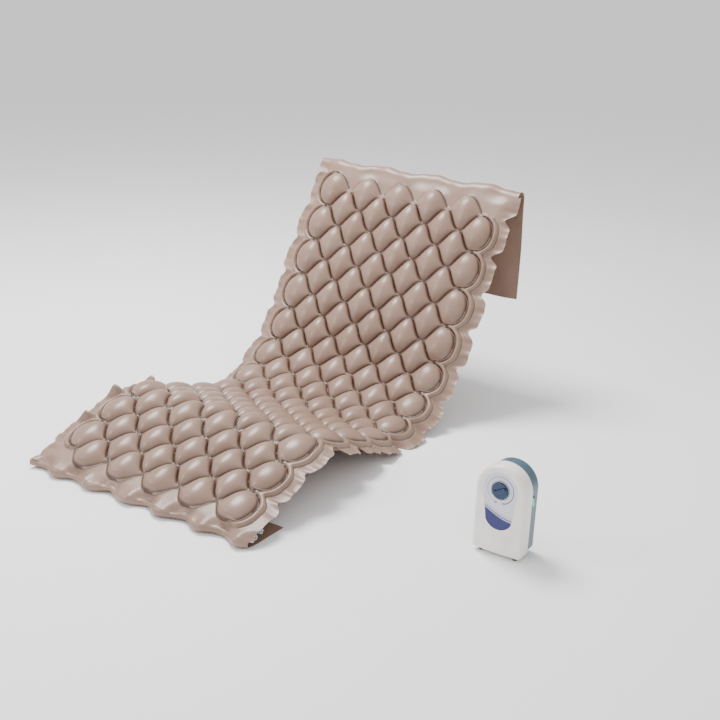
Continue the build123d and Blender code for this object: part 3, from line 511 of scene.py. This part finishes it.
def weld_marks_and_painted_light(n, colour, height, gather):
    """Colour and relief of the welds, the channel's seams and the gathered film, from the mesh's values, with
    painted shade in the creases beside the welds and a painted highlight on the welds that face the light.
    """
    weld, slant, tips = n.split(n.attribute("weld"))
    reach, channel, film = n.split(n.attribute("margin"))
    away = n.size(weld)
    beside = n.size(channel)
    inner = n.fade(0.392, 0.400, reach)
    # painted shade: the film is darkened towards TAUPE_DARK in the creases beside the welds
    crease_shade = n.times(n.fade(0.0012, 0.0085, away), inner)
    colour = n.mix(n.times(crease_shade, 0.85), colour, TAUPE_DARK)
    # painted highlight: a light strip along the welds of one slant only, the side that faces the light
    weld_highlight_strip = n.times(n.times(n.fade(0.0012, 0.0024, away), inner), n.step(0.25, 0.65, slant))
    line = n.step(0.0002, 0.0008, away)
    colour = n.mix(n.times(weld_highlight_strip, line), colour, TAUPE_LIGHT)
    seam = n.fade(0.0012, 0.0026, n.size(n.minus(beside, SEAM_FROM_CHANNEL)))
    colour = n.mix(n.times(seam, 0.5), colour, TAUPE_DARK)
    rim = n.fade(0.0006, 0.0018, n.size(n.minus(beside, RIM_FROM_CHANNEL)))
    colour = n.mix(n.times(rim, 0.5), colour, TAUPE_LIGHT)
    border_mask = n.times(n.step(0.34, 0.37, reach), n.step(0.010, 0.016, beside))
    slack = n.times(film, n.step(0.004, 0.016, away))
    corner = n.math("MAXIMUM", tips, n.times(n.math("MAXIMUM", border_mask, slack), 0.6))
    height = n.plus(height, n.times(n.times(gather, corner), 1.8))
    height = n.plus(height, n.times(weld_highlight_strip, 0.4))
    return colour, height


def vinyl(name, lattice=True):
    """Satin vinyl film: soft mottling and fine grain, and on the cells the marks of the welds, with painted
    shade in their creases and a painted highlight on the welds that face the light.
    """
    n = Nodes(name)
    mottle = n.noise(9, 4, 0.6)
    colour = n.mix(n.step(0.35, 0.7, mottle), TAUPE, TAUPE_WARM)
    grain = n.noise(900, 2, 0.6)
    gather = n.noise(60, 4, 0.6, n.place((1, 3.5, 1)), 0.8)
    height = n.times(grain, 0.05)
    if lattice:
        colour, height = weld_marks_and_painted_light(n, colour, height, gather)
    else:
        height = n.plus(height, n.times(gather, 0.6))
    n.set(Base_Color=colour, Roughness=n.plus(0.30, n.times(mottle, 0.12)))
    n.shader.inputs["Specular IOR Level"].default_value = 0.42
    n.shader.inputs["Coat Weight"].default_value = 0.14
    n.shader.inputs["Coat Roughness"].default_value = 0.25
    n.bump(height, 0.45, 0.0015)
    return n.material


VINYL = vinyl("vinyl_cells")
VINYL_FLAP = vinyl("vinyl_flap", lattice=False)

# ------------------------------------------------------------ skin pieces along the body

SEAT_MIDDLE = 0.640
KNEE_BLEND = 0.045
STRIPS = ["hip_strip_1", "hip_strip_2", "hip_strip_3"]
HIP_PLACES = [HIP_AT + HIP_HALF * quarter / 2 for quarter in (-2, -1, 0, 1, 2)]
CUTS = [0.0, SEAT_MIDDLE] + HIP_PLACES[1:-1] + [FIELD_LENGTH]
BENDS = [(KNEE_AT - KNEE_BLEND, KNEE_AT + KNEE_BLEND)] + list(zip(HIP_PLACES, HIP_PLACES[1:]))
COVERED = {
    "skin_calf_seat": ["calf_cells_a", "calf_cells_b", "calf_channels", "calf_border", "seat_cells_a",
                       "seat_cells_b", "seat_channels", "seat_border"],
    "skin_seat_hip_1": [f"{STRIPS[0]}_{part}" for part in ("cells", "channels", "border")],
    "skin_hip_1_2": [f"{STRIPS[1]}_{part}" for part in ("cells", "channels", "border")],
    "skin_hip_2_3": [f"{STRIPS[2]}_{part}" for part in ("cells", "channels", "border")],
    "skin_hip_3_back": ["back_cells_a", "back_cells_b", "back_channels", "back_border"],
}

for number, (name, nodes) in enumerate(COVERED.items()):
    piece = skin(name, round(CUTS[number] / GRID) * GRID, round(CUTS[number + 1] / GRID) * GRID)
    piece.data.materials.append(VINYL)
    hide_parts(*nodes)
    start, end = BENDS[number]
    spot(start)
    spot(end)
    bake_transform(piece)

# ------------------------------------------------------------ end flaps


def flap(name, line, half_width, wrinkle, shift):
    """A sheet of film along a line of (x, z) points with normals, wrinkled across its width."""
    line = np.asarray(line)
    run = np.concatenate([[0], np.cumsum(np.hypot(*np.diff(line, axis=0).T))])
    count = round(run[-1] / FLAP_GRID) + 1
    here = np.linspace(0, run[-1], count)
    x = np.interp(here, run, line[:, 0])
    z = np.interp(here, run, line[:, 1])
    normal_x = np.gradient(z, here)
    normal_z = -np.gradient(x, here)
    yards = np.linspace(-half_width, half_width, round(2 * half_width / FLAP_GRID) + 1)
    along, across = np.meshgrid(here, yards, indexing="ij")
    off = wrinkle(along, across)
    shift_x, shift_z = shift(along, across)
    sides = []
    for face in (1, -1):
        out = off + face * FILM_HALF
        new_x = x[:, None] + shift_x + normal_x[:, None] * out
        new_z = z[:, None] + shift_z + normal_z[:, None] * out
        sides.append(np.stack([new_x, MID_Y + across, new_z], -1).reshape(-1, 3))
    shape = along.shape
    faces = list(map(tuple, grid_faces(*shape)))
    faces += list(map(tuple, grid_faces(*shape, first=len(sides[0]), flip=True)))
    total = len(sides[0])
    rim = list(range(shape[1])) + [row * shape[1] + shape[1] - 1 for row in range(1, shape[0])]
    rim += [(shape[0] - 1) * shape[1] + column for column in range(shape[1] - 2, -1, -1)]
    rim += [row * shape[1] for row in range(shape[0] - 2, 0, -1)]
    for a, b in zip(rim, rim[1:] + rim[:1]):
        faces.append((a, b, b + total, a + total))
    piece = new_mesh(name, np.concatenate(sides), faces)
    piece.data.materials.append(VINYL_FLAP)
    return piece, run[-1]


def arc(centre, radius, first, last, count=24):
    """Points of an arc in the x-z plane, between two angles in degrees."""
    angles = np.radians(np.linspace(first, last, count))
    return [(centre[0] + radius * cos(t), centre[1] + radius * sin(t)) for t in angles]


def head_line():
    """Over the head end and straight down."""
    x, _, z = lay(np.array(FIELD_LENGTH), 0.0, 0.0)
    slope = radians(BACK_SLOPE)
    lead = 0.004
    x, z = x + lead * cos(slope), z + lead * sin(slope)
    centre = (x + HEAD_FOLD_RADIUS * sin(slope), z - HEAD_FOLD_RADIUS * cos(slope))
    bend = arc(centre, HEAD_FOLD_RADIUS, BACK_SLOPE + 90, 0)
    foot = (bend[-1][0], bend[-1][1] - HEAD_FLAP_DROP)
    start = (x - lead * cos(slope), z - lead * sin(slope))
    return [start] + bend + [foot]


def foot_line():
    """Round under the foot end and flat along the floor."""
    x, _, z = lay(np.array(0.0), 0.0, 0.0)
    slope = radians(CALF_SLOPE)
    radius = (z - FLAP_FLOOR_GAP) / (1 + cos(slope))
    centre = (x + radius * sin(slope), z - radius * cos(slope))
    bend = arc(centre, radius, CALF_SLOPE + 90, 270)
    return bend + [(bend[-1][0] + FOOT_FLAP_TUCK, bend[-1][1])]


def head_wrinkle(along, across):
    """How far the hanging film waves out of its flat line."""
    hang = smooth(0.06, 0.30, along)
    waves = ripple(across, (0.006, 17, 0.7), (0.003, 39, along * 9))
    edge = 1 - smooth(0.0, 0.05, along)
    return hang * waves - edge * head_wave(across) + 0.004 * (1 - hang) * (1 - edge) * np.sin(across * 27)


def foot_wrinkle(along, across):
    """How far the tucked film waves out of its rolled line."""
    roll = 1 - smooth(0.05, 0.09, along)
    waves = ripple(across, (0.0035, 33, 1)) * np.sin(across * 13) + ripple(across, (0.002, 77, along * 60))
    edge = 1 - smooth(0.0, 0.035, along)
    return edge * foot_wave(across) - 0.003 * roll * (1 - edge) + roll * waves * (1 - edge)


def head_shift(along, across):
    """x and z by which the head flap follows the drawn edge of the skin."""
    drawn = head_gather(across) * (1 - smooth(0.08, 0.30, along))
    return -drawn * cos(radians(BACK_SLOPE)), -drawn * sin(radians(BACK_SLOPE))


def foot_shift(along, across):
    """x and z by which the foot flap follows the drawn edge of the skin."""
    drawn = foot_gather(across) * (1 - smooth(0.05, 0.13, along))
    return drawn * cos(radians(CALF_SLOPE)), drawn * sin(radians(CALF_SLOPE)) * (1 - smooth(0.0, 0.05, along))


head_piece, head_length = flap("head_flap_sheet", head_line(), FLAP_HALF_WIDTH, head_wrinkle, head_shift)
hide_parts("head_flap")
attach(head_piece, "head_flap")

foot_piece, foot_length = flap("foot_flap_sheet", foot_line(), FLAP_HALF_WIDTH, foot_wrinkle, foot_shift)
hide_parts("foot_flap")
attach(foot_piece, "foot_flap")

# ------------------------------------------------------------ pump materials

DIAL = JOINTS["dial_turn"]["pos_m"]
SCALE_RADIUS = 0.0405
SCALE_OPENING = 0.30
NAVY = (0.012, 0.014, 0.12, 1)


def shade(colour, share):
    """The same colour, darker."""
    return tuple(channel * share for channel in colour[:3]) + (1,)


def plastic(name, colour, rough, grain=1400.0, strength=0.12, transmission=0.0):
    """Moulded plastic with a fine eroded grain and slight colour drift."""
    n = Nodes(name)
    drift = n.noise(14, 3, 0.5)
    n.set(Base_Color=n.mix(n.step(0.3, 0.75, drift), colour, shade(colour, 0.88)))
    n.set(Roughness=n.plus(rough, n.times(drift, 0.08)))
    n.shader.inputs["Transmission Weight"].default_value = transmission
    n.bump(n.noise(grain, 2, 0.6), strength, 0.0003)
    return n.material


def metal(name, colour, rough):
    """Metal with a brushed drift of its shine."""
    n = Nodes(name)
    brushed = n.noise(700, 3, 0.6, n.place((1, 12, 1)))
    n.set(Base_Color=n.mix(brushed, colour, shade(colour, 0.7)), Metallic=1.0)
    n.set(Roughness=n.plus(rough, n.times(brushed, 0.15)))
    return n.material


def distance(n, a, b):
    return n.math("SQRT", n.plus(n.times(a, a), n.times(b, b)))


def panel_print():
    """The front label: pale lavender grey, navy foot under wavy stripes, and a dial scale."""
    n = Nodes("label_print")
    _, y, z = n.split(n.place())
    right = n.minus(DIAL[1], y)
    up = n.minus(z, DIAL[2])
    radius = distance(n, right, up)
    angle = n.math("ARCTAN2", right, n.times(up, -1.0))
    pale = n.mix(n.noise(40, 2, 0.5), (0.60, 0.60, 0.70, 1), (0.66, 0.655, 0.73, 1))
    wave = n.times(n.math("SINE", n.plus(n.times(right, 44.0), 1.2)), 0.0045)
    level = n.plus(n.plus(up, n.times(right, 0.30)), n.plus(wave, 0.078))
    colour = n.mix(n.fade(-0.0003, 0.0003, level), pale, NAVY)
    for place, width in ((0.0035, 0.0011), (0.0062, 0.0008), (0.0095, 0.0004), (0.0145, 0.0004)):
        line = n.fade(width * 0.8, width * 1.2, n.size(n.minus(level, place)))
        colour = n.mix(line, colour, NAVY)
    # the scale: a ring that is open at the bottom and grows thicker clockwise
    turn = n.math("FRACT", n.minus(1.0, n.math("DIVIDE", angle, 2 * pi)))
    width = n.plus(0.0002, n.times(turn, 0.0013))
    ring = n.math("LESS_THAN", n.size(n.minus(radius, SCALE_RADIUS)), width)
    open_gap = n.step(SCALE_OPENING, SCALE_OPENING + 0.04, n.size(angle))
    colour = n.mix(n.times(ring, open_gap), colour, NAVY)
    # a small round mark at each end of the scale
    for side in (-1, 1):
        dx = n.minus(right, side * SCALE_RADIUS * sin(SCALE_OPENING))
        dz = n.plus(up, SCALE_RADIUS * cos(SCALE_OPENING))
        mark = n.math("LESS_THAN", n.size(n.minus(distance(n, dx, dz), 0.0026)), 0.0009)
        colour = n.mix(mark, colour, NAVY)
    n.set(Base_Color=colour, Roughness=0.45)
    n.shader.inputs["Coat Weight"].default_value = 0.08
    return n.material


def glow_green():
    """The lit rocker of the power switch."""
    n = Nodes("rocker_green")
    n.set(Base_Color=n.mix(n.noise(60, 2, 0.5), (0.02, 0.45, 0.22, 1), (0.05, 0.62, 0.33, 1)), Roughness=0.2)
    n.shader.inputs["Emission Color"].default_value = (0.08, 0.6, 0.38, 1)
    n.shader.inputs["Emission Strength"].default_value = 0.35
    n.shader.inputs["Coat Weight"].default_value = 0.5
    return n.material


SLOTS = {
    "warm_white_plastic": plastic("warm_white_plastic", (0.88, 0.835, 0.78, 1), 0.34),
    "slate_blue_plastic": plastic("slate_blue_plastic", (0.050, 0.110, 0.165, 1), 0.22, 900.0, 0.05, 0.15),
    "grey_plastic": plastic("grey_plastic", (0.30, 0.33, 0.37, 1), 0.33),
    "black_plastic": plastic("black_plastic", (0.02, 0.02, 0.022, 1), 0.4),
    "board_green": plastic("board_green", (0.02, 0.12, 0.05, 1), 0.4),
    "rubber_black": plastic("rubber_black", (0.018, 0.018, 0.018, 1), 0.7, 500.0, 0.3),
    "clear_tube": plastic("clear_tube", (0.55, 0.52, 0.49, 1), 0.25, 900.0, 0.05, 0.5),
    "filter_foam": plastic("filter_foam", (0.05, 0.05, 0.055, 1), 0.95, 400.0, 1.0),
    "blue_plastic": plastic("blue_plastic", (0.010, 0.045, 0.125, 1), 0.10, 900.0, 0.03, 0.35),
    "steel": metal("steel", (0.55, 0.55, 0.57, 1), 0.3),
    "brass_pins": metal("brass_pins", (0.75, 0.55, 0.25, 1), 0.25),
    "copper_wire": metal("copper_wire", (0.70, 0.32, 0.15, 1), 0.35),
    "green_plastic": glow_green(),
    "panel_print": panel_print(),
}
for entry in frame["record"]["subparts"]:
    material = SLOTS.get(entry["material_slot"])
    node = bpy.data.objects.get(entry["node"])
    if material is None or node is None:
        continue
    node.data.materials.clear()
    node.data.materials.append(material)

# ------------------------------------------------------------ floor, light and camera

FLOOR_SIZE = 240
FLOOR_DROP = 0.0005
bpy.ops.mesh.primitive_plane_add(size=FLOOR_SIZE, location=(0, 0, -FLOOR_DROP))
floor = bpy.context.object
floor.name = "studio_floor"
pale_floor = Nodes("pale_floor")
pale_floor.set(Base_Color=pale_floor.mix(pale_floor.noise(3), (0.95, 0.95, 0.95, 1), (0.93, 0.93, 0.935, 1)),
               Roughness=0.6)
floor.data.materials.append(pale_floor.material)

world = bpy.data.worlds.new("studio")
bpy.context.scene.world = world
world.use_nodes = True
world.node_tree.nodes["Background"].inputs[0].default_value = (1, 1, 1, 1)
world.node_tree.nodes["Background"].inputs[1].default_value = 1.0


def area_light(name, place, target, size, power):
    """A round soft light at a place, turned to its target."""
    light = bpy.data.lights.new(name, "AREA")
    light.shape = "DISK"
    light.size = size
    light.energy = power
    lamp = bpy.data.objects.new(name, light)
    bpy.context.collection.objects.link(lamp)
    lamp.location = place
    lamp.rotation_euler = (Vector(target) - Vector(place)).to_track_quat("-Z", "Y").to_euler()


area_light("key", (0.3, 1.6, 3.6), (-0.1, 0.2, 0.1), size=1.8, power=235)
area_light("fill", (-3.5, -2.5, 2.2), (0, 0, 0.2), size=2.5, power=18)
area_light("rim", (-2.8, 2.4, 2.4), (-0.3, 0.2, 0.2), size=1.2, power=45)

CAMERA_TURN = radians(-57.42)
CAMERA_RISE = radians(19.95)
CAMERA_ROLL = radians(2.52)
CAMERA_FROM_FOOT = Vector((-2.426, -2.336, 1.697))
CAMERA_LENS = 61.1
camera_data = bpy.data.cameras.new("camera")
camera_data.sensor_width = 36
camera_data.lens = CAMERA_LENS
camera = bpy.data.objects.new("camera", camera_data)
bpy.context.collection.objects.link(camera)
back = Vector((sin(CAMERA_TURN) * cos(CAMERA_RISE), -cos(CAMERA_TURN) * cos(CAMERA_RISE), sin(CAMERA_RISE)))
level = (-back).cross(Vector((0, 0, 1))).normalized()
upright = level.cross(-back)
right = cos(CAMERA_ROLL) * level + sin(CAMERA_ROLL) * upright
up = cos(CAMERA_ROLL) * upright - sin(CAMERA_ROLL) * level
turn = Matrix((right, up, back)).transposed().to_4x4()
camera.matrix_world = Matrix.Translation(CAMERA_FROM_FOOT + Vector((FOOT_X, MID_Y, 0))) @ turn
bpy.context.scene.camera = camera
